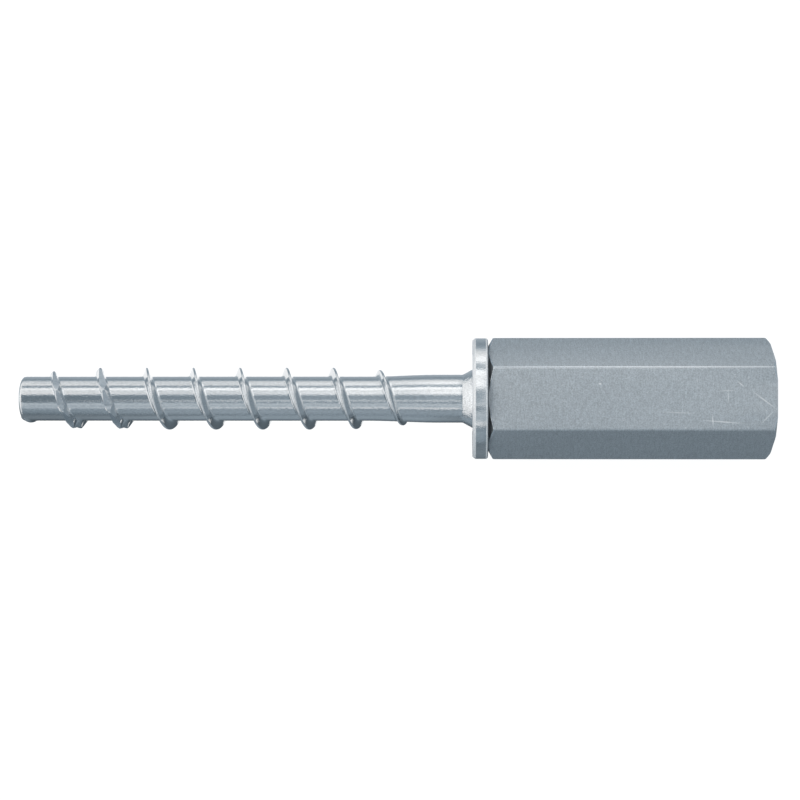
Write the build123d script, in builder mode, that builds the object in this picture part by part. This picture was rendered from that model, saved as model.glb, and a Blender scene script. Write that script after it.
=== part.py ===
"""Concrete screw with an internally threaded hexagon coupling, for a 6 mm drilled hole.

A cold-formed screw carries a coarse right-hand concrete thread whose first turns are toothed,
a plain neck, a short cone and a round flange. Its stud, behind the flange, holds a hexagon
coupling that takes an M10 rod at its mouth and an M8 rod further in.

Frame: +X runs along the screw from the tip to the coupling's mouth, and the origin is the
centre of the flange's bearing face. +Z is up, and two of the hexagon's flats are level.
Sizes are in millimetres and angles in degrees.
"""

import os
from math import ceil, cos, radians, sin, tan

from build123d import *

# Shank
screw_length = 55.4
core_diameter = 5.47
tip_round = 0.4
neck_diameter = 5.92
neck_length = 2.8
neck_taper_length = 8.6
cone_length = 1.2
cone_base_diameter = 7.2

# Concrete thread
thread_diameter = 7.64
thread_pitch = 5.75
thread_crest_width = 0.22
thread_root_width = 1.24
thread_flank_hollow = 0.08
thread_foot_depth = 0.3
thread_crest_margin = 0.15
first_crest_distance = 3.77
run_in_start = 0.3
run_in_start_height = 0.14
run_in_length = 6.8
run_out_start = 15.1
run_out_bend = 8.5
run_out_bend_height = 0.56
run_out_end = 6.3

# Teeth on the first turns: the angles of the gaps in one turn, which aren't quite evenly spaced
tooth_gap_angles = (-85.0, -44.0, -5.0, 58.5, 102.0, 150.0, 182.0, 233.0)
toothed_turns = 2
tooth_gap_depth = 0.42
tooth_rise_angle = 13.0
tooth_land_angle = 2.0
tooth_cut_reach = 1.3

# Flange, a little smaller than the coupling across its corners
flange_thickness = 1.9
flange_bearing_chamfer = 0.35
flange_seat_chamfer = 0.25
flange_inset = 0.036

# Stud behind the flange, which the coupling is screwed onto
stud_diameter = 8.0
stud_length = 9.0
stud_end_chamfer = 0.8
stud_clearance = 0.03

# Hexagon coupling
hexagon_sides = 6
across_flats = 13.0
hexagon_corner_round = 0.45
coupling_length = 34.3
seat_face_diameter = 12.75
mouth_face_diameter = 13.6
end_chamfer_angle = 30.0
rod_m8_bore_diameter = 6.8
rod_m10_bore_diameter = 8.5
rod_m10_bore_depth = 13.4
drill_point_angle = 118.0
mouth_countersink_diameter = 10.6
mouth_countersink_angle = 90.0

full_turn = 360.0
core_radius = core_diameter / 2
neck_radius = neck_diameter / 2
thread_radius = thread_diameter / 2
stud_radius = stud_diameter / 2
flat_radius = across_flats / 2
half_side_angle = radians(full_turn / hexagon_sides / 2)
corner_reach = (
    flat_radius - hexagon_corner_round
) / cos(half_side_angle) + hexagon_corner_round
flange_radius = corner_reach - flange_inset
tip_x = -screw_length
neck_start = -cone_length - neck_length
taper_start = neck_start - neck_taper_length
stud_end = flange_thickness + stud_length


def polar(radius, angle):
    """A point in the YZ plane, with the angle counted from +Y towards +Z."""
    return (radius * cos(radians(angle)), radius * sin(radians(angle)))


# The blank: one turned outline for the shank, neck, cone, flange and stud.
with BuildPart() as blank:
    with BuildSketch(Plane.XY) as blank_outline:
        with BuildLine():
            Polyline(
                (tip_x, 0),
                (tip_x, core_radius),
                (taper_start, core_radius),
                (neck_start, neck_radius),
                (-cone_length, neck_radius),
                (0, cone_base_diameter / 2),
                (0, flange_radius),
                (flange_thickness, flange_radius),
                (flange_thickness, stud_radius),
                (stud_end, stud_radius),
                (stud_end, 0),
                close=True,
            )
        make_face()
        flange_corners = blank_outline.vertices().sort_by(Axis.Y)[-2:].sort_by(Axis.X)
        chamfer(flange_corners[0], length=flange_bearing_chamfer)
        flange_corners = blank_outline.vertices().filter_by_position(
            Axis.X, flange_thickness, flange_thickness
        )
        chamfer(flange_corners.sort_by(Axis.Y)[-1], length=flange_seat_chamfer)
        tip_corner = blank_outline.vertices().filter_by_position(Axis.Y, core_radius, core_radius)
        fillet(tip_corner.sort_by(Axis.X)[0], radius=tip_round)
        stud_corner = blank_outline.vertices().filter_by_position(Axis.X, stud_end, stud_end)
        chamfer(stud_corner.sort_by(Axis.Y)[-1], length=stud_end_chamfer)
    revolve(axis=Axis.X)


def ridge_radius(turned):
    """The thread's radius at an angle counted round it from its first crest on +Y."""
    along = first_crest_distance + thread_pitch * turned / full_turn
    share = (along - run_in_start) / (run_in_length - run_in_start)
    start_radius = core_radius + run_in_start_height
    return min(start_radius + share * (thread_radius - start_radius), thread_radius)


def gap_depth(turned):
    """The depth of a tooth gap: it shrinks with the thread's height near the tip."""
    return tooth_gap_depth * (ridge_radius(turned) - core_radius) / (thread_radius - core_radius)


# The space that the thread may fill: it grows from the tip, keeps its height and dies out at the
# neck, and the gaps between the teeth are cut out of its first turns. A tooth's long side falls
# from the land before it, so each gap is cut with the angle of the gap before it.
run_in_end = tip_x + run_in_length
gap_angles = [full_turn * turn + angle for turn in range(toothed_turns) for angle in tooth_gap_angles]
gaps_before = [tooth_gap_angles[-1] - full_turn] + gap_angles[:-1]
with BuildPart() as thread_space:
    with BuildSketch(Plane.XY):
        with BuildLine():
            Polyline(
                (-run_out_end, 0),
                (tip_x + run_in_start, 0),
                (tip_x + run_in_start, core_radius + run_in_start_height),
                (run_in_end, thread_radius),
                (-run_out_start, thread_radius),
                (-run_out_bend, core_radius + run_out_bend_height),
                (-run_out_end, core_radius),
                close=True,
            )
        make_face()
    revolve(axis=Axis.X)
    for angle_before, valley_angle in zip(gaps_before, gap_angles):
        rise_end = valley_angle + tooth_rise_angle
        fall_start = angle_before + tooth_rise_angle + tooth_land_angle
        valley = Vector(*polar(ridge_radius(valley_angle) - gap_depth(valley_angle), valley_angle))
        rise_top = Vector(*polar(ridge_radius(rise_end), rise_end))
        fall_top = Vector(*polar(ridge_radius(fall_start), fall_start))
        along = tip_x + first_crest_distance + thread_pitch * valley_angle / full_turn
        with BuildSketch(Plane.YZ.offset(along)):
            with BuildLine():
                Polyline(
                    valley,
                    valley + (rise_top - valley) * tooth_cut_reach,
                    polar(thread_diameter, valley_angle),
                    valley + (fall_top - valley) * tooth_cut_reach,
                    close=True,
                )
            make_face()
        extrude(amount=thread_root_width, both=True, mode=Mode.SUBTRACT)

# The ridge: a hollow-flanked section swept along a right-hand helix, which starts on +Z and comes
# to the first crest, on +Y, three quarters of a turn later. Each turn is trimmed by itself,
# because one sweep of many turns doesn't trim cleanly.
helix_start = tip_x + first_crest_distance - thread_pitch * 3 / 4
helix_turns = ceil((-run_out_end - helix_start) / thread_pitch)
flank_slope = (thread_root_width - thread_crest_width) / 2 / (thread_radius - core_radius)
foot = (
    thread_root_width / 2 + thread_foot_depth * flank_slope,
    core_radius - thread_foot_depth,
)
flank_middle = (
    (thread_root_width + thread_crest_width) / 4 - thread_flank_hollow,
    (core_radius + thread_radius) / 2,
)
crest = (
    thread_crest_width / 2 - thread_crest_margin * flank_slope,
    thread_radius + thread_crest_margin,
)
turns = []
for turn in range(helix_turns):
    turn_start = helix_start + thread_pitch * turn
    with BuildPart() as thread_turn:
        with BuildLine() as helix:
            Helix(
                pitch=thread_pitch,
                height=thread_pitch,
                radius=core_radius,
                center=(turn_start, 0, 0),
                direction=(1, 0, 0),
            )
        with BuildSketch(Plane.XZ.shift_origin((turn_start, 0, 0))):
            with BuildLine():
                ThreePointArc(foot, flank_middle, crest)
                Polyline(crest, (0, crest[1]), (0, foot[1]), foot)
            make_face()
            mirror(about=Plane.YZ)
        sweep(path=helix.line, is_frenet=True)
        add(thread_space.part, mode=Mode.INTERSECT)
    turns.append(thread_turn.part)

with BuildPart() as concrete_screw:
    add(blank.part)
    for thread_turn_part in turns:
        add(thread_turn_part)
concrete_screw.part.label = "concrete_screw"

# The hexagon coupling, seated face to face on the flange and round the stud.
coupling_end = flange_thickness + coupling_length
corner_radius = flat_radius / cos(half_side_angle)
seat_radius = seat_face_diameter / 2
mouth_radius = mouth_face_diameter / 2
seat_chamfer = (corner_radius - seat_radius) * tan(radians(end_chamfer_angle))
mouth_chamfer = (corner_radius - mouth_radius) * tan(radians(end_chamfer_angle))
back_bore_radius = stud_radius + stud_clearance
m8_radius = rod_m8_bore_diameter / 2
m10_radius = rod_m10_bore_diameter / 2
m10_floor = coupling_end - rod_m10_bore_depth
m10_floor_cone = (m10_radius - m8_radius) / tan(radians(drill_point_angle / 2))
countersink_radius = mouth_countersink_diameter / 2
countersink_depth = (countersink_radius - m10_radius) / tan(radians(mouth_countersink_angle / 2))
with BuildPart() as hexagon_coupling:
    with BuildSketch(Plane.YZ.offset(flange_thickness)):
        RegularPolygon(radius=flat_radius, side_count=hexagon_sides, major_radius=False)
        fillet(vertices(), radius=hexagon_corner_round)
    extrude(amount=coupling_length)
    with BuildSketch(Plane.XY):
        Polygon(
            (flange_thickness, 0),
            (flange_thickness, seat_radius),
            (flange_thickness + seat_chamfer, corner_radius),
            (coupling_end - mouth_chamfer, corner_radius),
            (coupling_end, mouth_radius),
            (coupling_end, 0),
            align=None,
        )
    revolve(axis=Axis.X, mode=Mode.INTERSECT)
    with BuildSketch(Plane.XY):
        Polygon(
            (flange_thickness, 0),
            (flange_thickness, back_bore_radius),
            (stud_end, back_bore_radius),
            (stud_end, m8_radius),
            (m10_floor - m10_floor_cone, m8_radius),
            (m10_floor, m10_radius),
            (coupling_end - countersink_depth, m10_radius),
            (coupling_end, countersink_radius),
            (coupling_end, 0),
            align=None,
        )
    revolve(axis=Axis.X, mode=Mode.SUBTRACT)
hexagon_coupling.part.label = "hexagon_coupling"

os.makedirs("parts", exist_ok=True)
export_step(concrete_screw.part, "parts/concrete_screw.step")
export_step(hexagon_coupling.part, "parts/hexagon_coupling.step")
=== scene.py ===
"""Studio scene of a concrete screw that carries an internally threaded hexagon coupling.

The file is laid out as an add-on: the sizes, finishes and lights are properties of the scene,
each piece and the stage have an operator, and a panel in the 3D view's sidebar lists them.
The screw lies along X with its tip towards -X, and Z is up. Lengths are in metres.
"""

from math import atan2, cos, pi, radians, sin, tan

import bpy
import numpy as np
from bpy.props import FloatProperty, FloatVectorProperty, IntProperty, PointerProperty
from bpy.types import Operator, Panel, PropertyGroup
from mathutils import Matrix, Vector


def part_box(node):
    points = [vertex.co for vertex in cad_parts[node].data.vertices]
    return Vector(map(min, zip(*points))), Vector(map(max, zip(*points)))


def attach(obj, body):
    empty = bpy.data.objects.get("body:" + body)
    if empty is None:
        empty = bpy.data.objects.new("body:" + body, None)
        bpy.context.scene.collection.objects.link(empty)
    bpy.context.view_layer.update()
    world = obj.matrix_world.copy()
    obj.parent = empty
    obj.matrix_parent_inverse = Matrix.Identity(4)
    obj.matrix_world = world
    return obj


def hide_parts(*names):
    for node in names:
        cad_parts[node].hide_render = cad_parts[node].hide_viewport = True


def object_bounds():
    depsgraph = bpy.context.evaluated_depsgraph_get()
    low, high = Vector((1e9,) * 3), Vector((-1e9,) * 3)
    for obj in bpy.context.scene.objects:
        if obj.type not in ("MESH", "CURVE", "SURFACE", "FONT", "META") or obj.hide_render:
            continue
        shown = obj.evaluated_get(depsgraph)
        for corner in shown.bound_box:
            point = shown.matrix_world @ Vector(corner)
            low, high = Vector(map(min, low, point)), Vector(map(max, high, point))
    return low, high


bl_info = {
    "name": "Internally Threaded Concrete Screw",
    "version": (1, 0, 0),
    "blender": (4, 5, 0),
    "location": "View3D > Sidebar > Screw",
    "description": "Builds a concrete screw with its hexagon coupling, and a light tent round it",
    "category": "Add Mesh",
}

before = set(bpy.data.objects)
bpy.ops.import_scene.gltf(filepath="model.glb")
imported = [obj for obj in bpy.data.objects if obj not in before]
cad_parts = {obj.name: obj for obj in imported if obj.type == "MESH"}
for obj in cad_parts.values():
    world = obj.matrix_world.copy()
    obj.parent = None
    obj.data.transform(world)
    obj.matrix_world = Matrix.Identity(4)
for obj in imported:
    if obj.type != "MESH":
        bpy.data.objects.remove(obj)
cad_low, cad_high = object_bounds()
screw_low, screw_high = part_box("concrete_screw")
coupling_low, coupling_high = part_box("hexagon_coupling")

MM = 0.001
TURN = 2 * pi
# Edges that turn by more than this look sharp
SHARP_ANGLE = radians(32)
# Wear of a face: forged, pressed between the teeth, and rubbed with a painted highlight
FORGED, PRESSED, RUBBED_HIGHLIGHT = 0.25, 0.5, 1.0
# Sockets of a Mix node for colours, which can't be found by name: both colours, and the result
MIX_A, MIX_B, MIX_RESULT = 6, 7, 2


def length(name, description, millimetres):
    """A length property, whose default is given in millimetres."""
    return FloatProperty(
        name=name, description=description, default=millimetres * MM, unit="LENGTH", precision=5
    )


def angle(name, description, degrees):
    """An angle property, whose default is given in degrees."""
    return FloatProperty(
        name=name, description=description, default=radians(degrees), unit="ROTATION"
    )


def level(name, description, value):
    """A plain number property, such as a brightness or a roughness."""
    return FloatProperty(name=name, description=description, default=value, min=0.0)


def linear(hex_colour):
    """A linear colour from an sRGB hex value such as #C9CED3."""
    values = [int(hex_colour[i : i + 2], 16) / 255 for i in (1, 3, 5)]
    return [v / 12.92 if v <= 0.04045 else ((v + 0.055) / 1.055) ** 2.4 for v in values]


def colour(name, description, hex_colour):
    """A colour property, whose default is given as an sRGB hex value."""
    return FloatVectorProperty(
        name=name,
        description=description,
        default=linear(hex_colour),
        subtype="COLOR",
        min=0.0,
        max=1.0,
    )


class ShankSizes(PropertyGroup):
    """The plain forms of the screw, from its tip to its flange."""

    core_diameter: length("Core diameter", "Plain shank between the ridges", 5.47)
    tip_round: length("Tip round", "Radius of the rounded edge at the tip", 0.4)
    neck_diameter: length("Neck diameter", "Plain shank under the flange", 5.92)
    taper_start: length("Taper start", "Where the core starts to grow, before the flange", 12.6)
    taper_end: length("Taper end", "Where the neck has its full size, before the flange", 4.4)
    cone_length: length("Cone length", "Length of the cone that meets the flange", 1.2)
    cone_diameter: length("Cone diameter", "The cone's size where it meets the flange", 7.2)
    flange_thickness: length("Flange thickness", "Thickness of the round flange", 1.9)
    bearing_run: length("Bearing run", "Chamfer on the flange's rim, on the shank's side", 0.36)
    bearing_fall: length("Bearing fall", "The same chamfer, measured on the bearing face", 0.24)
    seat_round: length("Seat round", "Radius of the flange's edge on the coupling's side", 0.28)
    pressed_wear: level("Pressed wear", "Wear of the faces between the teeth", PRESSED)
    cone_wear: level("Cone wear", "Wear of the forged cone", FORGED)
    stud_diameter: length("Stud diameter", "Stud inside the coupling", 8.0)
    stud_length: length("Stud length", "Length of the stud behind the flange", 9.0)
    stud_chamfer: length("Stud chamfer", "Chamfer at the end of the stud", 0.8)


class ThreadSizes(PropertyGroup):
    """The right-hand concrete thread, with its toothed first turns."""

    diameter: length("Thread diameter", "Outer diameter of the ridge", 7.64)
    pitch: length("Pitch", "Distance from one turn to the next", 5.75)
    crest_width: length("Crest width", "Width of the crest, with its rounded edges", 0.28)
    crest_drop: length("Crest drop", "How far the crest's edges are rounded off", 0.08)
    root_width: length("Root width", "Width of the full ridge at its root", 1.22)
    narrow_share: level("Narrow share", "Root width of the lowest ridge, as a share", 0.61)
    flank_hollow: level("Flank hollow", "Power of the flank's curve: 1 is straight", 1.6)
    first_crest: length("First crest", "Distance of the first crest on +Y from the tip", 3.77)
    run_in_start: length("Run-in start", "Where the ridge starts, from the tip", 0.3)
    run_in_height: length("Run-in height", "Height of the ridge where it starts", 0.14)
    run_in_end: length("Run-in end", "Where the ridge has its full height, from the tip", 6.8)
    run_out_start: length("Run-out start", "Where the ridge starts to sink, from the flange", 15.1)
    run_out_bend: length("Run-out bend", "Where the ridge starts to die out", 8.5)
    run_out_height: length("Run-out height", "Height over the core at the run-out's bend", 0.56)
    run_out_end: length("Run-out end", "Where the ridge ends, before the flange", 6.3)
    gaps: FloatVectorProperty(
        name="Gaps",
        description="Angles of the gaps between the teeth in one turn, from the first crest on +Y",
        size=8,
        default=[radians(a) for a in (-85, -44, -5, 58.5, 102, 150, 182, 233)],
        unit="ROTATION",
    )
    toothed_turns: IntProperty(
        name="Toothed turns", description="Turns that have teeth, from the tip", default=2, min=0
    )
    gap_width: length("Gap width", "Width of the ridge's flattened top in a gap", 0.96)
    gap_depth: length("Gap depth", "Depth of a gap in the full ridge", 0.42)
    rise: angle("Rise", "Angle of a tooth's short steep side", 13)
    land: angle("Land", "Angle of the top of a tooth", 2)


class CouplingSizes(PropertyGroup):
    """The hexagon coupling and its two internal threads."""

    across_flats: length("Across flats", "Distance between two opposite flats", 13.0)
    corner_round: length("Corner round", "Radius of the hexagon's long edges", 0.45)
    seat_diameter: length("Seat diameter", "Flat round face on the screw's flange", 12.75)
    mouth_face: length("Mouth face", "Flat round face at the mouth", 13.6)
    chamfer_angle: angle("Chamfer angle", "Angle of the turned chamfer at each end", 30)
    crease_round: length("Crease round", "How far the chamfer's edges are softened", 0.12)
    back_bore: length("Back bore", "Bore round the screw's stud", 8.06)
    large_bore: length("Large bore", "Minor diameter of the M10 thread", 8.5)
    large_thread: length("Large thread", "Major diameter of the M10 thread", 10.0)
    large_pitch: length("Large pitch", "Pitch of the M10 thread", 1.5)
    large_depth: length("Large depth", "Depth of the M10 bore from the mouth", 13.4)
    small_bore: length("Small bore", "Minor diameter of the M8 thread", 6.8)
    small_thread: length("Small thread", "Major diameter of the M8 thread", 8.0)
    small_pitch: length("Small pitch", "Pitch of the M8 thread", 1.25)
    drill_angle: angle("Drill angle", "Point angle of the drill that left the step", 118)
    mouth_diameter: length("Mouth diameter", "Countersink at the mouth", 10.6)


class Finishes(PropertyGroup):
    """Colours and roughness of the two zinc finishes."""

    bright_zinc: colour("Bright zinc", "Zinc plating on the rolled screw", "#E0E3E5")
    dull_zinc: colour("Dull zinc", "Zinc plating on the drawn coupling", "#C9CFD3")
    dull_roughness: level("Dull roughness", "Roughness of the coupling", 0.5)
    edge_roughness: level("Edge roughness", "Roughness of its rubbed edges", 0.16)


class StageSettings(PropertyGroup):
    """Camera, floor and light tent."""

    camera_height: length("Camera height", "Height over the screw's axis", 208)
    camera_lens: level("Lens", "Focal length in millimetres", 76.22)
    camera_side: length("Camera side", "Camera's place along the screw", -0.7)
    camera_up: length("Camera up", "Camera's place across the screw", -0.172)
    camera_tilt: angle("Camera tilt", "How far the camera leans towards the tip", 1.2)
    camera_shift: FloatProperty(
        name="Camera shift", description="Sideways shift as a share of the width", default=-0.039
    )
    tent_radius: length("Tent radius", "Radius of the half-round light tent", 400)
    tent_length: length("Tent length", "Length of the light tent", 1000)
    tip_bands: length("Tip bands", "Where the tent has the tip's bands, along the screw", -152)
    middle_bands: length("Middle bands", "Where the tent has the middle's bands", -92)
    flange_bands: length("Flange bands", "Where the tent has the flange's bands", 0)
    tip_cloth_end: length("Tip cloth end", "Where the cloth beyond the tip ends", -190)
    mouth_panel: level("Mouth panel", "Brightness of the tent's end beyond the mouth", 0.42)
    mouth_cloth_start: length("Mouth cloth start", "Where the mouth's cloth starts", 30)
    light_cloth_start: length("Light cloth start", "Where the mouth's cloth gets lighter", 110)
    dark_cloth_start: length("Dark cloth start", "Where it is as dark as the end", 200)
    cloth_fade: length("Cloth fade", "Length over which one cloth fades into the next", 70)
    floor_white: level("Floor white", "How much of the floor's white stays in shadow", 0.9)
    upper_card: length("Upper card", "Distance of the dark card on +Y from the screw's axis", 5.6)
    lower_card: length("Lower card", "Distance of the dark card on -Y from the screw's axis", 4.15)


def smooth(share):
    """A soft step from 0 to 1, for a share that may lie outside them."""
    share = np.clip(share, 0.0, 1.0)
    return share * share * (3 - 2 * share)


def chord(turned, start, start_radius, end, end_radius):
    """The radius at an angle of the straight line between two points given by angle and radius."""
    reach = start_radius * np.sin(turned - start) + end_radius * np.sin(end - turned)
    return start_radius * end_radius * np.sin(end - start) / reach


class Skin:
    """Points and faces of one piece, gathered ring by ring round the X axis."""

    def __init__(self, angles):
        self.angles = np.asarray(angles)
        self.points = []
        self.faces = []
        self.wear_and_highlight = []

    def ring(self, x, radius):
        """Add a ring of points and return their numbers; x and radius may differ by column."""
        x, radius = np.broadcast_arrays(x, radius, self.angles)[:2]
        start = len(self.points)
        across = radius * np.cos(self.angles)
        up = radius * np.sin(self.angles)
        self.points += np.stack([x, across, up], axis=1).tolist()
        return np.arange(start, len(self.points))

    def face(self, corners, wear_and_highlight=0.0):
        """Add a face, without the corners that fall together, and note its wear and painted
        highlight.
        """
        kept = [c for i, c in enumerate(corners) if c != corners[i - 1]]
        if len(kept) > 2:
            self.faces.append(kept)
            self.wear_and_highlight.append(float(wear_and_highlight))

    def join(self, *rings, wear_and_highlight=0.0):
        """Add the faces between each ring and the next; their wear and painted highlight may
        differ by column.
        """
        wear_and_highlight = np.broadcast_to(wear_and_highlight, self.angles.shape)
        for lower, upper in zip(rings, rings[1:]):
            for j in range(len(lower)):
                k = (j + 1) % len(lower)
                self.face([int(c) for c in (lower[j], lower[k], upper[k], upper[j])], wear_and_highlight[j])

    def helix(self, x, radius, rows_per_turn, low, high, wear_and_highlight=0.0):
        """Add a helical grid between two planes and return the rings where it meets them.

        Its rows rise by one pitch in a turn, so the last column meets the first a turn on. What
        lies past a plane falls together on that plane's ring.
        """
        columns = range(len(self.angles))
        low_radius = [np.interp(low, x[:, j], radius[:, j]) for j in columns]
        high_radius = [np.interp(high, x[:, j], radius[:, j]) for j in columns]
        low_ring = self.ring(low, low_radius)
        high_ring = self.ring(high, high_radius)
        numbers = np.where(x <= low, low_ring, high_ring)
        inside = (x > low) & (x < high)
        numbers[inside] = len(self.points) + np.arange(inside.sum())
        across = radius * np.cos(self.angles)
        up = radius * np.sin(self.angles)
        self.points += np.stack([x[inside], across[inside], up[inside]], axis=1).tolist()
        a_turn_on = np.vstack([numbers[rows_per_turn:, :1]] + [high_ring[:1]] * rows_per_turn)
        numbers = np.hstack([numbers, a_turn_on])
        wear_and_highlight = np.broadcast_to(wear_and_highlight, x.shape)
        for i, (lower, upper) in enumerate(zip(numbers.tolist(), numbers[1:].tolist())):
            for j in columns:
                self.face([lower[j], lower[j + 1], upper[j + 1], upper[j]], wear_and_highlight[i, j])
        return low_ring, high_ring


def add_piece(skin, name, node, material):
    """Turn a skin into an object that stands for a node of the frame."""
    mesh = bpy.data.meshes.new(name)
    mesh.from_pydata(skin.points, [], skin.faces)
    wear_and_highlight = mesh.attributes.new("wear_and_highlight", "FLOAT", "FACE")
    wear_and_highlight.data.foreach_set("value", skin.wear_and_highlight)
    mesh.shade_smooth()
    mesh.set_sharp_from_angle(angle=SHARP_ANGLE)
    mesh.materials.append(material)
    piece = bpy.data.objects.new(name, mesh)
    bpy.context.scene.collection.objects.link(piece)
    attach(piece, "root")
    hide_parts(node)


def add_node(tree, kind, inputs=(), stops=(), **settings):
    """Add a node, set its options, and give each input a value or another node's output.

    An input is named or numbered, and a node given to it stands for its first output. Map Range
    has its value at 0, the range it comes from at 1 and 2, and the one it goes to at 3 and 4. The
    stops are a colour ramp's places and colours.
    """
    node = tree.nodes.new(kind)
    for option, value in settings.items():
        setattr(node, option, value)
    for name, value in dict(inputs).items():
        if isinstance(value, bpy.types.Node):
            value = value.outputs[0]
        if isinstance(value, bpy.types.NodeSocket):
            tree.links.new(value, node.inputs[name])
        else:
            node.inputs[name].default_value = value
    for number, (place, tint) in enumerate(stops):
        if number > 1:
            node.color_ramp.elements.new(place)
        node.color_ramp.elements[number].position = place
        node.color_ramp.elements[number].color = (*tint, 1.0)
    return node


def new_material(name):
    """An empty node material, and its node tree."""
    material = bpy.data.materials.new(name)
    material.use_nodes = True
    material.node_tree.nodes.clear()
    return material, material.node_tree


def column_angles(thread):
    """Angles of the mesh's columns round the screw, which meet every edge of the teeth."""
    rise_columns, fall_columns = 5, 14
    gaps = np.array(thread.gaps)
    angles = []
    for start, end in zip(gaps, [*gaps[1:], gaps[0] + TURN]):
        land_start = start + thread.rise
        land_end = land_start + thread.land
        angles += np.linspace(start, land_start, rise_columns + 1).tolist()
        angles += np.linspace(land_end, end, fall_columns, endpoint=False).tolist()
    return angles


def core_radius_at(shank, x):
    """The plain shank's radius: the core grows in a soft curve to the neck."""
    share = (x + shank.taper_start) / (shank.taper_start - shank.taper_end)
    return (shank.core_diameter + (shank.neck_diameter - shank.core_diameter) * smooth(share)) / 2


def crest_place(thread, turned):
    """Where the crest is along X, by the angle turned from the first crest on +Y."""
    return screw_low.x + thread.first_crest + thread.pitch * turned / TURN


def ridge_radius(shank, thread, turned):
    """The ridge's outer radius, which grows from the tip and sinks towards the neck."""
    core = shank.core_diameter / 2
    tip = screw_low.x
    marks = {
        tip + thread.run_in_start: core + thread.run_in_height,
        tip + thread.run_in_end: thread.diameter / 2,
        -thread.run_out_start: thread.diameter / 2,
        -thread.run_out_bend: core + thread.run_out_height,
        -thread.run_out_end: core,
    }
    return np.interp(crest_place(thread, turned), list(marks), list(marks.values()))


def toothed_ridge(shank, thread, turned):
    """The toothed ridge's radius, and how flat its top is: from 0 on a tooth to 1 in a gap."""
    core = shank.core_diameter / 2
    full = thread.diameter / 2 - core
    one_turn = np.array(thread.gaps)
    turns = TURN * np.arange(thread.toothed_turns)
    gaps = (turns[:, None] + one_turn).ravel()
    marks = np.array([one_turn[-1] - TURN, *gaps, gaps[-1] + TURN])
    rounding = 1e-6
    number = np.searchsorted(marks, turned + rounding, side="right") - 1
    number = number.clip(0, len(gaps))

    def ridge(where):
        return ridge_radius(shank, thread, where)

    def valley(where):
        return ridge(where) - thread.gap_depth * (ridge(where) - core) / full

    start, end = marks[number], marks[number + 1]
    rise_end = start + thread.rise
    land_end = rise_end + thread.land
    rising = (turned < rise_end) & (number > 0)
    falling = (turned > land_end) & (number < len(gaps))
    up = chord(turned, start, valley(start), rise_end, ridge(rise_end))
    down = chord(turned, land_end, ridge(land_end), end, valley(end))
    radius = np.where(rising, up, np.where(falling, down, ridge(turned)))
    flat_up = (rise_end - turned) / thread.rise
    flat_down = (turned - land_end) / (end - land_end)
    flatness = np.where(rising, flat_up, np.where(falling, flat_down, 0.0))
    return radius, flatness


# Places over the ridge's top, down each flank and over the plain shank, as shares of their width
CREST_SHARES = np.array([-1, -0.95, -0.8, -0.5, 0, 0.5, 0.8, 0.95, 1])
FLANK_SHARES = np.array([0.1, 0.25, 0.42, 0.6, 0.78, 0.91, 1])
PLAIN_SHARES = np.array([0.1, 0.3, 0.6])


def ridge_grid(shank, thread, angles, turns):
    """Places along X and radii of the shank's helical grid, row by row and column by column."""
    turned = angles + TURN * np.arange(-1, turns)[:, None, None]
    place = crest_place(thread, turned)
    base = core_radius_at(shank, place)
    start = screw_low.x + thread.run_in_start
    fade = smooth((place - start) / thread.run_in_start)
    ridge, flatness = toothed_ridge(shank, thread, turned)
    full = (ridge_radius(shank, thread, turned) - base).clip(0) * fade
    top = (ridge - base).clip(0) * fade
    whole = (thread.diameter - shank.core_diameter) / 2
    share = thread.narrow_share + (1 - thread.narrow_share) * full / whole
    root_half = thread.root_width / 2 * share
    crest_half = thread.crest_width / 2
    gap_half = thread.gap_width / 2 * share
    top_half = crest_half + (gap_half - crest_half) * flatness
    # In a gap the top's edges are crisp and the flanks are nearly straight
    crisp_from = 0.1
    drop = np.minimum(thread.crest_drop, top / 2) * (1 - flatness / crisp_from).clip(0)
    straight = 1.1
    power = thread.flank_hollow - (thread.flank_hollow - straight) * flatness

    crest_shares = CREST_SHARES[:, None]
    crest_out = crest_shares * top_half
    crest_up = top - drop * (1 - np.sqrt(1 - crest_shares**2))
    down = FLANK_SHARES[:, None]
    flank_out = top_half + (root_half - top_half) * down
    flank_up = (top - drop) * (1 - down) ** power
    plain_out = root_half + (thread.pitch / 2 - root_half) * PLAIN_SHARES[:, None]
    middle = np.full_like(root_half, -thread.pitch / 2)
    out = np.concatenate(
        [middle, -plain_out[:, ::-1], -flank_out[:, ::-1], crest_out, flank_out, plain_out],
        axis=1,
    )
    flat = np.zeros_like(plain_out)
    up = np.concatenate(
        [np.zeros_like(middle), flat, flank_up[:, ::-1], crest_up, flank_up, flat], axis=1
    )
    x = place + out
    radius = core_radius_at(shank, x) + up
    rows = x.shape[1]
    on_top = np.zeros((rows, 1), bool)
    on_top[1 + len(PLAIN_SHARES) + len(FLANK_SHARES) :][: len(CREST_SHARES) - 1] = True
    in_gap = np.maximum(flatness, np.roll(flatness, -1, axis=2)) > 0
    shape = (-1, len(angles))
    return x.reshape(shape), radius.reshape(shape), (on_top & in_gap).reshape(shape), rows


def rounded(centre_x, centre_radius, size, start, end):
    """Points of a rounded edge as (x, radius), with angles from +X towards the outside."""
    steps = 6
    turn = np.linspace(radians(start), radians(end), steps + 1)
    return [(centre_x + size * cos(a), centre_radius + size * sin(a)) for a in turn]


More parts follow.
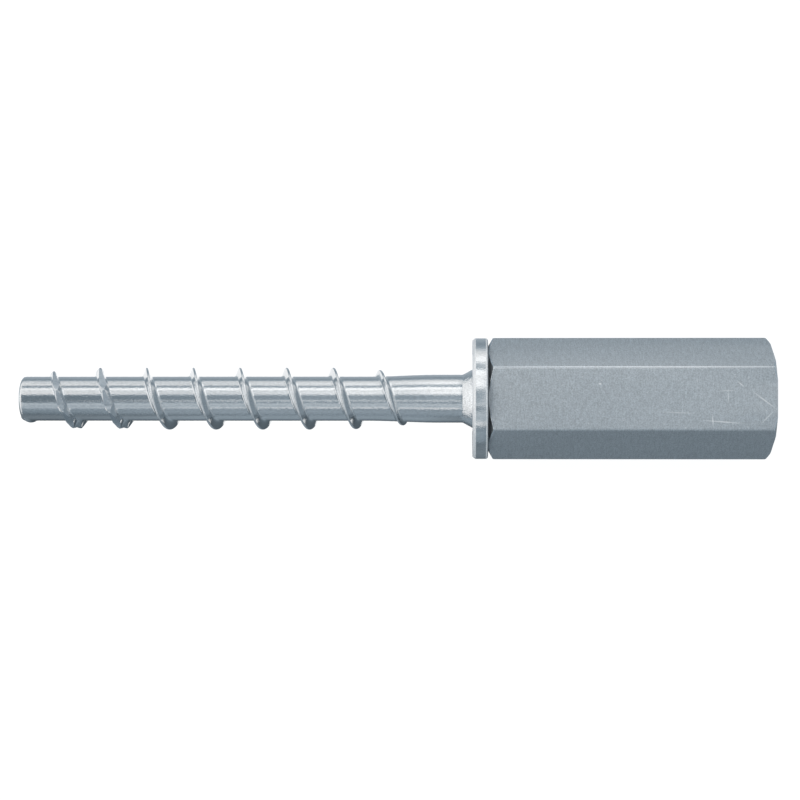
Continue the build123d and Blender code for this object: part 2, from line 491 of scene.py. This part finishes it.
class OBJECT_OT_concrete_screw(Operator):
    """Build the rolled screw: shank, toothed thread, neck, flange and stud"""

    bl_idname = "object.add_concrete_screw"
    bl_label = "Concrete Screw"
    bl_options = {"REGISTER", "UNDO"}

    def execute(self, context):
        shank = context.scene.screw_shank
        thread = context.scene.screw_thread
        skin = Skin(column_angles(thread))
        tip = screw_low.x
        neck_end = -shank.cone_length
        turns = int(np.ceil((neck_end - tip) / thread.pitch)) + 2
        x, radius, pressed, rows = ridge_grid(shank, thread, skin.angles, turns)
        edge = shank.tip_round
        # Half the width of the soft edges between the neck and the cone, and on the flange
        crease, soft = 0.06 * MM, 0.05 * MM
        low_ring, high_ring = skin.helix(
            x, radius, rows, tip + edge, neck_end - crease, shank.pressed_wear * pressed
        )

        low_radius = np.array([np.hypot(*skin.points[i][1:]) for i in low_ring])
        tip_rings = [
            skin.ring(tip + edge + along, low_radius - edge + up)
            for along, up in rounded(0, 0, edge, 180, 90)[:-1]
        ]
        skin.join(*tip_rings, low_ring)
        skin.face(tip_rings[0][::-1].tolist())

        rim = screw_high.z
        fall, run, seat = shank.bearing_fall, shank.bearing_run, shank.seat_round
        stud = shank.stud_diameter / 2
        stud_end = shank.flange_thickness + shank.stud_length
        cone_slope = (shank.cone_diameter - shank.neck_diameter) / 2 / shank.cone_length
        cone = [
            (neck_end + crease, shank.neck_diameter / 2 + crease * cone_slope),
            (0, shank.cone_diameter / 2),
        ]
        bearing_edge = [
            (0, rim - fall - soft),
            (soft / 2, rim - fall),
            (run - soft, rim - soft / 3),
            (run, rim),
            (run + soft, rim),
        ]
        seat_edge = rounded(shank.flange_thickness - seat, rim - seat, seat, 90, 0)
        inside = [
            (shank.flange_thickness, stud),
            (stud_end - shank.stud_chamfer, stud),
            (stud_end, stud - shank.stud_chamfer),
        ]
        cone, bearing_edge, seat_edge, inside = [
            [skin.ring(*point) for point in points]
            for points in (cone, bearing_edge, seat_edge, inside)
        ]
        # The flange's chamfer and the rim's half of its seat edge get a painted white highlight
        rubbed_highlight = len(seat_edge) // 2
        skin.join(high_ring, *cone, wear_and_highlight=shank.cone_wear)
        skin.join(cone[-1], bearing_edge[0])
        skin.join(*bearing_edge, wear_and_highlight=RUBBED_HIGHLIGHT)
        skin.join(bearing_edge[-1], seat_edge[0])
        skin.join(*seat_edge[: rubbed_highlight + 1], wear_and_highlight=RUBBED_HIGHLIGHT)
        skin.join(*seat_edge[rubbed_highlight:], *inside)
        skin.face(inside[-1].tolist())
        add_piece(skin, "rolled_screw", "concrete_screw", bright_zinc(context))
        return {"FINISHED"}


def hexagon_columns(sizes):
    """Angles, radii, and wear with painted highlight, of the rounded hexagon's outline, with
    corners on +Y and -Y.

    Every other long edge is rubbed along a narrow strip, which also gets a painted highlight.
    """
    sides, corner_steps, flat_steps = 6, 8, 12
    strip = 2, 3
    half_side = TURN / sides / 2
    size = sizes.corner_round
    centre = (sizes.across_flats / 2 - size) / cos(half_side)
    angles, radii, wear_and_highlight = [], [], []
    for number, corner in enumerate(np.arange(sides) * TURN / sides):
        turn = np.linspace(-half_side, half_side, corner_steps + 1)
        along = centre + size * np.cos(turn)
        aside = size * np.sin(turn)
        angles += (corner + np.arctan2(aside, along)).tolist()
        radii += np.hypot(along, aside).tolist()
        start = atan2(aside[-1], along[-1])
        end = TURN / sides - start
        flat = np.linspace(start, end, flat_steps + 1)[1:-1]
        angles += (corner + flat).tolist()
        radii += (sizes.across_flats / 2 / np.cos(flat - half_side)).tolist()
        # On every other edge the rubbed strip also gets a painted highlight
        rubbed_highlight = strip if number % 2 else ()
        wear_and_highlight += [RUBBED_HIGHLIGHT * (step in rubbed_highlight) for step in range(corner_steps)] + [0.0] * flat_steps
    return np.array(angles), np.array(radii), np.array(wear_and_highlight)


def chamfered_end(sizes, end, inwards, hexagon, face):
    """Rings (x, radius) over one end's chamfer, with both of its edges softened.

    It starts at the round face and cuts each column of the hexagon that reaches further out. Where
    a column doesn't reach it, the rings stay a least distance apart.
    """
    over = np.maximum(hexagon - face, 0)
    run = over * tan(sizes.chamfer_angle)
    soft = np.minimum(sizes.crease_round, over / 2)
    least = 0.2 * sizes.crease_round
    lip = np.minimum(face, hexagon - least)
    along, aside = soft * sin(sizes.chamfer_angle), soft * cos(sizes.chamfer_angle)
    return [
        (end, lip - np.maximum(soft, least)),
        (end + inwards * along / 2, lip + aside / 2),
        (end + inwards * np.maximum(run - along / 2, least / 2), hexagon - aside / 2),
        (end + inwards * (run + np.maximum(soft, least)), hexagon),
    ]


def bore_thread(skin, minor, major, pitch, low, high, fade_turns, mouth=None):
    """Add an internal thread between two planes; its groove fades in from the lower one."""
    # Places in one pitch, and the groove's depth there: a flat crest, and a narrow flat bottom
    groove = np.array([-0.5, -0.375, -0.0625, 0.0625, 0.375])
    depth = np.array([0, 0, 1, 1, 0])
    turns = int(np.ceil((high - low) / pitch)) + 2
    turned = skin.angles + TURN * np.arange(-1, turns)[:, None, None]
    place = low + pitch * (turned - skin.angles[0]) / TURN
    x = (place + pitch * groove[:, None]).reshape(-1, len(skin.angles))
    deep = np.broadcast_to(depth[:, None], (turns + 1, len(depth), len(skin.angles)))
    deep = deep.reshape(x.shape) * smooth((x - low) / (fade_turns * pitch))
    radius = minor + (major - minor) * deep
    if mouth is not None:
        radius = np.maximum(radius, mouth - (high - x))
    first_face = len(skin.faces)
    low_ring, high_ring = skin.helix(x, radius, len(depth), low, high)
    skin.faces[first_face:] = [face[::-1] for face in skin.faces[first_face:]]
    return low_ring, high_ring


class OBJECT_OT_hexagon_coupling(Operator):
    """Build the hexagon coupling with its M10 and M8 internal threads"""

    bl_idname = "object.add_hexagon_coupling"
    bl_label = "Hexagon Coupling"
    bl_options = {"REGISTER", "UNDO"}

    def execute(self, context):
        sizes = context.scene.screw_coupling
        angles, hexagon, edge_wear_and_highlight = hexagon_columns(sizes)
        skin = Skin(angles)
        back, end = coupling_low.x, coupling_high.x
        mouth = sizes.mouth_diameter / 2
        bore = sizes.back_bore / 2
        outer = [
            (back, bore),
            *chamfered_end(sizes, back, 1, hexagon, sizes.seat_diameter / 2),
            *chamfered_end(sizes, end, -1, hexagon, sizes.mouth_face / 2)[::-1],
            (end, mouth),
        ]
        rings = [skin.ring(*point) for point in outer]
        skin.join(*rings[:4])
        # The chamfers' creases and strips on every other long edge are rubbed, with a painted
        # highlight
        skin.join(*rings[3:5], wear_and_highlight=RUBBED_HIGHLIGHT)
        skin.join(*rings[4:6], wear_and_highlight=edge_wear_and_highlight)
        skin.join(*rings[5:7], wear_and_highlight=RUBBED_HIGHLIGHT)
        skin.join(*rings[6:])

        stud_end = screw_high.x
        floor = end - sizes.large_depth
        step_run = (sizes.large_bore - sizes.small_bore) / 2 / tan(sizes.drill_angle / 2)
        large = sizes.large_bore / 2, sizes.large_thread / 2, sizes.large_pitch
        small = sizes.small_bore / 2, sizes.small_thread / 2, sizes.small_pitch
        large_fade, small_fade = 3, 2
        large_low, large_high = bore_thread(skin, *large, floor, end, large_fade, mouth)
        small_end = floor - step_run
        small_low, small_high = bore_thread(skin, *small, stud_end, small_end, small_fade)
        skin.join(rings[-1], large_high)
        skin.join(large_low, small_high)
        skin.join(small_low, skin.ring(stud_end, bore), rings[0])
        add_piece(
            skin, "threaded_coupling", "hexagon_coupling", dull_zinc(context)
        )
        return {"FINISHED"}


# Places along X in millimetres, and how strong the painted shade in the seam between flange and
# coupling is there
SEAM_SHADES = [(1.76, 0), (1.88, 1), (1.98, 1), (2.16, 0)]
# What a metal's colour is multiplied by where it is darkest
DARK_SHARE = 0.3
# How many finer layers each noise has; its size is given in millimetres
DETAIL = 1.5


def tinted(tint, share):
    """A linear colour times one share, or times one for each of its parts."""
    return [min(float(part), 1.0) for part in np.multiply(tint, share)]


def seam_shade(tree, place):
    """Painted shade: how much darker the metal is made in the gap between the flange and the
    hexagon's turned chamfer.
    """
    across = add_node(tree, "ShaderNodeVectorMath", {0: place, 1: (0, 1, 1)}, operation="MULTIPLY")
    radius = add_node(tree, "ShaderNodeVectorMath", {0: across}, operation="LENGTH")
    light_until, dark_from = 6.5 * MM, 6.8 * MM
    inputs = {0: radius.outputs["Value"], 1: light_until, 2: dark_from}
    outside = add_node(tree, "ShaderNodeMapRange", inputs)
    split = add_node(tree, "ShaderNodeSeparateXYZ", {0: place})
    low, high = SEAM_SHADES[0][0], SEAM_SHADES[-1][0]
    inputs = {0: split.outputs["X"], 1: low * MM, 2: high * MM}
    share = add_node(tree, "ShaderNodeMapRange", inputs)
    stops = [((x - low) / (high - low), [shade] * 3) for x, shade in SEAM_SHADES]
    near = add_node(tree, "ShaderNodeValToRGB", {"Fac": share}, stops=stops)
    return add_node(tree, "ShaderNodeMath", {0: outside, 1: near}, operation="MULTIPLY")


def metal(tree, base, roughness, height, depth, metallic=1.0):
    """A metal surface with a relief, which turns matt where it is less metallic, as on the
    flange's painted highlight.
    """
    inputs = {"Height": height, "Strength": 1.0, "Distance": depth}
    bump = add_node(tree, "ShaderNodeBump", inputs)
    inputs = {"Base Color": base, "Metallic": metallic, "Roughness": roughness, "Normal": bump}
    shader = add_node(tree, "ShaderNodeBsdfPrincipled", inputs)
    add_node(tree, "ShaderNodeOutputMaterial", {"Surface": shader})


def bright_zinc(context):
    """Zinc plating on cold-rolled steel: bluish silver and mirror-like, with beaded streaks.

    The dies leave the streaks along the shank. Forged metal has dents, which make the cone
    sparkle. Pressed metal is rougher, so that the faces between the teeth are a mottled light
    grey. The flange's rubbed edges are painted matt and nearly white, a painted highlight.
    """
    finish = context.scene.screw_finishes
    material, tree = new_material("bright_zinc_on_rolled_steel")
    place = add_node(tree, "ShaderNodeTexCoord").outputs["Object"]
    wear_and_highlight = add_node(tree, "ShaderNodeAttribute", attribute_name="wear_and_highlight").outputs["Fac"]
    stretch = (0.3, 1, 1)
    drawn_out = add_node(tree, "ShaderNodeMapping", {"Vector": place, "Scale": stretch})
    noises = []
    for where, size in ((drawn_out, 0.13), (place, 0.13), (place, 0.28)):
        inputs = {"Vector": where, "Scale": 1 / (size * MM), "Detail": DETAIL}
        noises.append(add_node(tree, "ShaderNodeTexNoise", inputs))
    streaks, grain, dents = noises
    streak_height, dent_height = 0.85, 6.0
    inputs = {0: streaks, 1: streak_height, 2: grain}
    rolled = add_node(tree, "ShaderNodeMath", inputs, operation="MULTIPLY_ADD")
    dented = add_node(tree, "ShaderNodeMapRange", {0: wear_and_highlight, 1: 0, 2: FORGED, 3: 0, 4: dent_height})
    inputs = {0: dents, 1: dented, 2: rolled}
    height = add_node(tree, "ShaderNodeMath", inputs, operation="MULTIPLY_ADD")
    gloss = add_node(tree, "ShaderNodeMapRange", {0: streaks, 1: 0.3, 2: 0.7, 3: 0.035, 4: 0.075})
    inputs = {0: wear_and_highlight, 1: FORGED, 2: PRESSED, 3: 0, 4: 0.25}
    pressed = add_node(tree, "ShaderNodeMapRange", inputs)
    roughness = add_node(tree, "ShaderNodeMath", {0: gloss, 1: pressed}, operation="ADD")
    # Rubbed edges are less metallic, so that their painted white highlight looks matt
    highlight_metallic = add_node(tree, "ShaderNodeMapRange", {0: wear_and_highlight, 1: PRESSED, 2: RUBBED_HIGHLIGHT, 3: 1, 4: 0.35})
    zinc = list(finish.bright_zinc)
    blue_grey = tinted(zinc, (0.72, 0.77, 0.81))
    # Rubbed edges are painted white: a painted highlight
    stops = [(0, zinc), (FORGED, zinc), (PRESSED, blue_grey), (RUBBED_HIGHLIGHT, [1, 1, 1])]
    tint = add_node(tree, "ShaderNodeValToRGB", {"Fac": wear_and_highlight}, stops=stops)
    cloudy = add_node(tree, "ShaderNodeMapRange", {0: streaks, 1: 0.6, 2: 0.36, 3: 0, 4: 0.13})
    # The seam's painted shade is added to the streaks' cloudy tone
    inputs = {0: cloudy, 1: seam_shade(tree, place)}
    shade = add_node(tree, "ShaderNodeMath", inputs, operation="ADD")
    inputs = {"Factor": shade, MIX_A: tint, MIX_B: (*tinted(zinc, DARK_SHARE), 1)}
    base = add_node(tree, "ShaderNodeMix", inputs, data_type="RGBA").outputs[MIX_RESULT]
    relief = 0.009 * MM
    metal(tree, base, roughness, height, relief, highlight_metallic)
    return material


# Scratches on the coupling's top: both ends in millimetres along X and Y, and how light they are
SCRATCHES = [
    (27.4, -2.6, 32.1, -2.95, 0.9),
    (28.4, -1.8, 28.55, -3.3, 0.8),
    (33.2, 0.85, 36.0, -1.25, 0.8),
    (31.4, 2.05, 32.2, 1.4, 0.8),
    (34.2, -3.0, 35.6, -1.55, 0.7),
    (22.5, -1.6, 26.4, -1.75, 0.5),
    (29.3, 0.95, 31.2, 0.95, 0.5),
    (30.3, 0.9, 30.35, -0.6, 0.5),
    (14.95, 1.76, 15.35, 1.72, 1.4),
    (30.0, 6.9, 30.5, 5.6, 0.6),
]


def dull_zinc(context):
    """Zinc plating on drawn hexagon bar: bluish grey and matt, with a fine crystal speckle.

    Drawing leaves faint lines across it. Where it is rubbed it is polished and painted lighter,
    a painted highlight, so that the edges catch a thin bright line, and handling has left light
    scratches near the mouth.
    """
    finish = context.scene.screw_finishes
    material, tree = new_material("dull_zinc_on_drawn_steel")
    place = add_node(tree, "ShaderNodeTexCoord").outputs["Object"]
    wear_and_highlight = add_node(tree, "ShaderNodeAttribute", attribute_name="wear_and_highlight").outputs["Fac"]
    stretch = (1, 0.15, 0.15)
    across = add_node(tree, "ShaderNodeMapping", {"Vector": place, "Scale": stretch})
    noises = []
    for where, size in ((place, 0.14), (across, 0.16), (place, 0.22)):
        inputs = {"Vector": where, "Scale": 1 / (size * MM), "Detail": DETAIL}
        noises.append(add_node(tree, "ShaderNodeTexNoise", inputs))
    speckle, lines, spots = noises
    share_of_lines = 0.3
    inputs = {"Factor": share_of_lines, 2: speckle, 3: lines}
    mixed = add_node(tree, "ShaderNodeMix", inputs, data_type="FLOAT")
    # The polished colour is lighter: a painted highlight on the rubbed edges
    dark, light, polished_highlight = [tinted(finish.dull_zinc, share) for share in (0.79, 1.14, 1.2)]
    stops = [(0.34, dark), (0.66, light)]
    tint = add_node(tree, "ShaderNodeValToRGB", {"Fac": mixed}, stops=stops)
    marks = add_node(tree, "ShaderNodeMapRange", {0: spots, 1: 0.68, 2: 0.76, 3: 0, 4: 0.4})
    # A scratch is a stretched ball that fades from its middle, so it reaches past both ends
    past_ends, half_width, half_height, top = 1.2, 0.11 * MM, 4 * MM, 6.5 * MM
    for x, y, to_x, to_y, lightness in SCRATCHES:
        half_length = np.hypot(to_x - x, to_y - y) / 2 * MM
        inputs = {
            "Vector": place,
            "Location": ((x + to_x) / 2 * MM, (y + to_y) / 2 * MM, top),
            "Rotation": (0, 0, atan2(to_y - y, to_x - x)),
            "Scale": (half_length * past_ends, half_width, half_height),
        }
        local = add_node(tree, "ShaderNodeMapping", inputs, vector_type="TEXTURE")
        inputs = {"Vector": local}
        ball = add_node(tree, "ShaderNodeTexGradient", inputs, gradient_type="SPHERICAL")
        inputs = {0: ball.outputs["Fac"], 1: lightness, 2: marks}
        marks = add_node(tree, "ShaderNodeMath", inputs, operation="MULTIPLY_ADD")
    # Layers: light marks, the seam's painted shade, and the rubbed edges' painted highlight
    layers = [
        (marks, (1, 1, 1)),
        (seam_shade(tree, place), tinted(dark, DARK_SHARE)),
        (wear_and_highlight, polished_highlight),
    ]
    for share, over in layers:
        inputs = {"Factor": share, MIX_A: tint, MIX_B: (*over, 1)}
        tint = add_node(tree, "ShaderNodeMix", inputs, data_type="RGBA").outputs[MIX_RESULT]
    inputs = {0: wear_and_highlight, 3: finish.dull_roughness, 4: finish.edge_roughness}
    roughness = add_node(tree, "ShaderNodeMapRange", inputs)
    relief = 0.012 * MM
    metal(tree, tint, roughness, speckle, relief)
    return material


# Degrees from the zenith, and the tent's brightness over the tip, the middle and the flange
TENT_LEVELS = [
    (-90, 0.17, 0.34, 0.33),
    (-80, 0.25, 0.40, 0.36),
    (-68, 0.31, 0.42, 0.40),
    (-58, 0.34, 0.37, 0.32),
    (-54, 0.38, 0.42, 0.36),
    (-51, 0.50, 0.72, 0.92),
    (-46, 0.58, 0.68, 0.90),
    (-43, 0.50, 0.56, 0.55),
    (-36, 0.52, 0.53, 0.56),
    (-28, 0.65, 0.65, 0.66),
    (-21, 0.36, 0.43, 0.34),
    (-16, 0.22, 0.35, 0.30),
    (-12.5, 0.19, 0.86, 0.76),
    (-9, 0.21, 0.64, 0.66),
    (-5, 0.22, 0.33, 0.50),
    (8, 0.22, 0.34, 0.46),
    (13, 0.21, 0.34, 0.42),
    (18, 0.38, 0.46, 0.80),
    (24, 1.00, 0.80, 1.32),
    (32, 0.95, 0.83, 1.30),
    (40, 0.89, 0.70, 1.10),
    (46, 1.10, 1.30, 1.30),
    (54, 1.14, 1.50, 1.44),
    (58, 0.60, 0.54, 0.54),
    (61, 0.38, 0.40, 0.52),
    (68, 0.36, 0.42, 0.62),
    (75, 1.06, 0.88, 1.32),
    (83, 0.96, 0.83, 1.26),
    (90, 0.66, 0.74, 1.10),
]
# Degrees from the zenith, and the tent's brightness beyond the tip, at the mouth and beyond it
END_LEVELS = [
    (-90, 0.85, 0.20, 0.70),
    (-60, 0.95, 0.25, 0.75),
    (-35, 1.00, 0.45, 0.80),
    (-5, 1.05, 0.88, 0.92),
    (20, 1.10, 0.76, 0.88),
    (38, 1.10, 0.64, 0.85),
    (50, 1.10, 1.05, 0.90),
    (90, 1.10, 1.05, 0.90),
]
# Places along X in millimetres, and the share that the dark card has of its brightness
CARD_SHADES = [(-54, 0.68), (-36, 1.0), (-7, 1.0), (-3, 0.82), (1, 0.64), (8, 0.72)]
# Distance from the screw's axis in millimetres, and the brightness of the cards on the floor
UPPER_CARD = [
    (2, 0.50), (10, 0.48), (13, 0.43), (20, 0.35), (28, 0.40), (36, 0.54), (60, 0.85), (100, 0.92)
]
LOWER_CARD = [(2, 0.12), (5, 0.13), (8, 0.19), (12, 0.33), (20, 0.39), (30, 0.37), (100, 0.32)]
# Height in millimetres, and the brightness of the tent's end beyond the tip
TIP_PANEL = [(0, 0.50), (100, 0.55), (160, 1.30), (400, 1.30)]
# A ramp's own numbers end at one, so it holds shares of this brightness
TOP_LEVEL = 2.0
# Brightness of the tent's cloth, and how far it leans towards blue
TINTS = {0.0: (0.80, 1, 1.16), 0.25: (0.80, 1, 1.16), 0.5: (0.88, 1, 1.10), 0.95: (1, 1, 1)}


def sheet_tint(brightness):
    """A linear colour of the tent's cloth: the darker it is, the bluer."""
    ratios = [np.interp(brightness, list(TINTS), column) for column in zip(*TINTS.values())]
    return [float(brightness * ratio) for ratio in ratios]


class SCENE_OT_light_tent(Operator):
    """Set up the camera, the white floor and the half-round light tent"""

    bl_idname = "scene.add_light_tent"
    bl_label = "Light Tent"
    bl_options = {"REGISTER", "UNDO"}

    def execute(self, context):
        stage = context.scene.screw_stage
        self.add_camera(context, stage)
        self.add_floor(context, stage)
        self.add_cards(context, stage)
        self.add_tent(context, stage)
        self.add_panels(context, stage)
        self.set_world(context)
        context.scene.view_settings.view_transform = "Standard"
        return {"FINISHED"}

    def add_camera(self, context, stage):
        """The camera looks straight down on the screw."""
        data = bpy.data.cameras.new("camera")
        data.lens = stage.camera_lens
        data.shift_x = stage.camera_shift
        data.clip_start = 1 * MM
        camera = bpy.data.objects.new("camera", data)
        camera.location = (stage.camera_side, stage.camera_up, stage.camera_height)
        camera.rotation_euler = (0, stage.camera_tilt, 0)
        context.scene.collection.objects.link(camera)
        context.scene.camera = camera

    def level_corners(self, reach, near, far, height):
        """Corners of a level rectangle, by its reach along X and its two edges along Y."""
        corners = (-reach, near), (reach, near), (reach, far), (-reach, far)
        return [(x, y, height) for x, y in corners]

    def add_sheet(self, context, name, points, material, faces=((0, 1, 2, 3),)):
        """A sheet that belongs to the stage, with four corners unless its faces are given."""
        mesh = bpy.data.meshes.new(name)
        mesh.from_pydata(points, [], faces)
        mesh.materials.append(material)
        sheet = bpy.data.objects.new(name, mesh)
        context.scene.collection.objects.link(sheet)
        return sheet

    def white_for_eye(self, tree):
        """One where a ray comes from the camera, a reflection or a glass, and else zero."""
        path = add_node(tree, "ShaderNodeLightPath")
        seen = path.outputs["Is Camera Ray"]
        for name in ("Is Glossy Ray", "Is Transmission Ray"):
            inputs = {0: seen, 1: path.outputs[name]}
            seen = add_node(tree, "ShaderNodeMath", inputs, operation="MAXIMUM")
        return seen

    def add_floor(self, context, stage):
        """White paper for the eye, with a thin matt coat that keeps the screw's faint shadow."""
        material, tree = new_material("white_paper")
        seen = self.white_for_eye(tree)
        inputs = {"Color": (1, 1, 1, 1), "Strength": stage.floor_white}
        white = add_node(tree, "ShaderNodeEmission", inputs)
        paper, coat = [
            add_node(tree, "ShaderNodeBsdfDiffuse", {"Color": (grey, grey, grey, 1)})
            for grey in (0.8, 0.25)
        ]
        both = add_node(tree, "ShaderNodeAddShader", {0: white, 1: coat})
        mixed = add_node(tree, "ShaderNodeMixShader", {0: seen, 1: paper, 2: both})
        add_node(tree, "ShaderNodeOutputMaterial", {"Surface": mixed})
        reach = stage.tent_length
        corners = self.level_corners(reach, -reach, reach, cad_low.z)
        self.add_sheet(context, "floor", corners, material)

    def ramp(self, tree, value, levels, unit=MM, top=1.0):
        """A tint that follows a value, from (place, brightness) pairs, as a share of the top."""
        start, end = levels[0][0], levels[-1][0]
        share = add_node(tree, "ShaderNodeMapRange", {0: value, 1: start * unit, 2: end * unit})
        stops = [
            ((place - start) / (end - start), [tint / top for tint in sheet_tint(brightness)])
            for place, brightness in levels
        ]
        inputs = {"Fac": share}
        return add_node(tree, "ShaderNodeValToRGB", inputs, stops=stops)

    def add_cards(self, context, stage):
        """Dark cards on both sides of the screw, seen only in its reflections."""
        thickness = 0.05 * MM
        low = cad_low.z + thickness
        reach = stage.tent_length / 2
        for side, inner, levels, shades in (
            (1, stage.upper_card, UPPER_CARD, None),
            (-1, stage.lower_card, LOWER_CARD, CARD_SHADES),
        ):
            material, tree = new_material("dark_card")
            place = add_node(tree, "ShaderNodeTexCoord").outputs["Object"]
            split = add_node(tree, "ShaderNodeSeparateXYZ", {0: place})
            inputs = {0: split.outputs["Y"], 1: side}
            out = add_node(tree, "ShaderNodeMath", inputs, operation="MULTIPLY")
            inputs = {"Color": self.ramp(tree, out, levels)}
            if shades:
                inputs["Strength"] = self.ramp(tree, split.outputs["X"], shades)
            glow = add_node(tree, "ShaderNodeEmission", inputs)
            add_node(tree, "ShaderNodeOutputMaterial", {"Surface": glow})
            corners = self.level_corners(reach, side * inner, side * stage.tent_radius, low)
            card = self.add_sheet(context, "card", corners, material)
            card.visible_camera = card.visible_diffuse = card.visible_shadow = False

    def add_panels(self, context, stage):
        """Upright panels at the tent's ends: bright beyond the tip, and dark past the mouth."""
        half, side, low = stage.tent_length / 2, stage.tent_radius, cad_low.z
        mouth = [(0, stage.mouth_panel), (1, stage.mouth_panel)]
        for x, levels in ((-half, TIP_PANEL), (half, mouth)):
            material, tree = new_material("end_panel")
            place = add_node(tree, "ShaderNodeTexCoord").outputs["Object"]
            height = add_node(tree, "ShaderNodeSeparateXYZ", {0: place}).outputs["Z"]
            tint = self.ramp(tree, height, levels, top=TOP_LEVEL)
            glow = add_node(tree, "ShaderNodeEmission", {"Color": tint, "Strength": TOP_LEVEL})
            add_node(tree, "ShaderNodeOutputMaterial", {"Surface": glow})
            corners = [(x, -side, low), (x, side, low), (x, side, side), (x, -side, side)]
            panel = self.add_sheet(context, "end_panel", corners, material)
            panel.visible_camera = False

    def add_tent(self, context, stage):
        """A half-round tent along the screw, whose bright and dark bands the metal reflects."""
        material, tree = new_material("light_tent")
        place = add_node(tree, "ShaderNodeTexCoord").outputs["Object"]
        split = add_node(tree, "ShaderNodeSeparateXYZ", {0: place})
        inputs = {0: split.outputs["Y"], 1: split.outputs["Z"]}
        turn = add_node(tree, "ShaderNodeMath", inputs, operation="ARCTAN2")
        fade = stage.cloth_fade
        dark = [(row[0], stage.mouth_panel) for row in END_LEVELS]
        levels = [row[:2] for row in END_LEVELS]
        bands = self.ramp(tree, turn, levels, radians(1), TOP_LEVEL)
        for table, column, start, end in (
            (TENT_LEVELS, 1, stage.tip_cloth_end - fade, stage.tip_cloth_end),
            (TENT_LEVELS, 2, stage.tip_bands, stage.middle_bands),
            (TENT_LEVELS, 3, stage.middle_bands, stage.flange_bands),
            (END_LEVELS, 2, stage.mouth_cloth_start, stage.mouth_cloth_start + fade),
            (END_LEVELS, 3, stage.light_cloth_start, stage.light_cloth_start + fade),
            (dark, 1, stage.dark_cloth_start, stage.dark_cloth_start + fade),
        ):
            levels = [(row[0], row[column]) for row in table]
            over = self.ramp(tree, turn, levels, radians(1), TOP_LEVEL)
            share = add_node(tree, "ShaderNodeMapRange", {0: split.outputs["X"], 1: start, 2: end})
            inputs = {"Factor": share, MIX_A: bands, MIX_B: over}
            bands = add_node(tree, "ShaderNodeMix", inputs, data_type="RGBA").outputs[MIX_RESULT]
        glow = add_node(tree, "ShaderNodeEmission", {"Color": bands, "Strength": TOP_LEVEL})
        add_node(tree, "ShaderNodeOutputMaterial", {"Surface": glow})
        half = stage.tent_length / 2
        # The arc reaches a little below the floor, so that no gap is left there
        half_arc, places = 91, 62
        turns = np.radians(np.linspace(-half_arc, half_arc, places))
        points = [
            (x, stage.tent_radius * sin(a), stage.tent_radius * cos(a))
            for a in turns
            for x in (-half, half)
        ]
        faces = [(2 * i, 2 * i + 1, 2 * i + 3, 2 * i + 2) for i in range(len(turns) - 1)]
        tent = self.add_sheet(context, "light_tent", points, material, faces)
        tent.visible_camera = False

    def set_world(self, context):
        """A white world for the eye, and a plain grey one for matt surfaces."""
        world = bpy.data.worlds.new("white_world")
        world.use_nodes = True
        tree = world.node_tree
        tree.nodes.clear()
        seen = self.white_for_eye(tree)
        white = add_node(tree, "ShaderNodeBackground", {"Color": (1, 1, 1, 1)})
        matt_light = 0.5
        inputs = {"Color": (1, 1, 1, 1), "Strength": matt_light}
        grey = add_node(tree, "ShaderNodeBackground", inputs)
        mixed = add_node(tree, "ShaderNodeMixShader", {0: seen, 1: grey, 2: white})
        add_node(tree, "ShaderNodeOutputWorld", {"Surface": mixed})
        context.scene.world = world


class VIEW3D_PT_screw(Panel):
    """Lists the sizes, finishes and lights, with a button for each piece"""

    bl_label = "Concrete Screw"
    bl_idname = "VIEW3D_PT_screw"
    bl_space_type = "VIEW_3D"
    bl_region_type = "UI"
    bl_category = "Screw"

    def draw(self, context):
        for operator, groups in PANEL_ROWS.items():
            box = self.layout.box()
            box.operator(operator)
            for name in groups:
                group = getattr(context.scene, name)
                for prop in group.__annotations__:
                    box.prop(group, prop)


PANEL_ROWS = {
    "object.add_concrete_screw": ["screw_shank", "screw_thread"],
    "object.add_hexagon_coupling": ["screw_coupling", "screw_finishes"],
    "scene.add_light_tent": ["screw_stage"],
}
GROUPS = {
    "screw_shank": ShankSizes,
    "screw_thread": ThreadSizes,
    "screw_coupling": CouplingSizes,
    "screw_finishes": Finishes,
    "screw_stage": StageSettings,
}
OPERATORS = (OBJECT_OT_concrete_screw, OBJECT_OT_hexagon_coupling, SCENE_OT_light_tent)


def register():
    """Register the classes and give the scene its properties."""
    for name, group in GROUPS.items():
        bpy.utils.register_class(group)
        setattr(bpy.types.Scene, name, PointerProperty(type=group))
    for operator in OPERATORS:
        bpy.utils.register_class(operator)
    bpy.utils.register_class(VIEW3D_PT_screw)


def unregister():
    """Undo what register did, in the opposite order."""
    bpy.utils.unregister_class(VIEW3D_PT_screw)
    for operator in reversed(OPERATORS):
        bpy.utils.unregister_class(operator)
    for name, group in reversed(GROUPS.items()):
        delattr(bpy.types.Scene, name)
        bpy.utils.unregister_class(group)


def main():
    """Build the screw, its coupling and the stage."""
    register()
    bpy.ops.object.add_concrete_screw()
    bpy.ops.object.add_hexagon_coupling()
    bpy.ops.scene.add_light_tent()


if __name__ == "__main__":
    main()
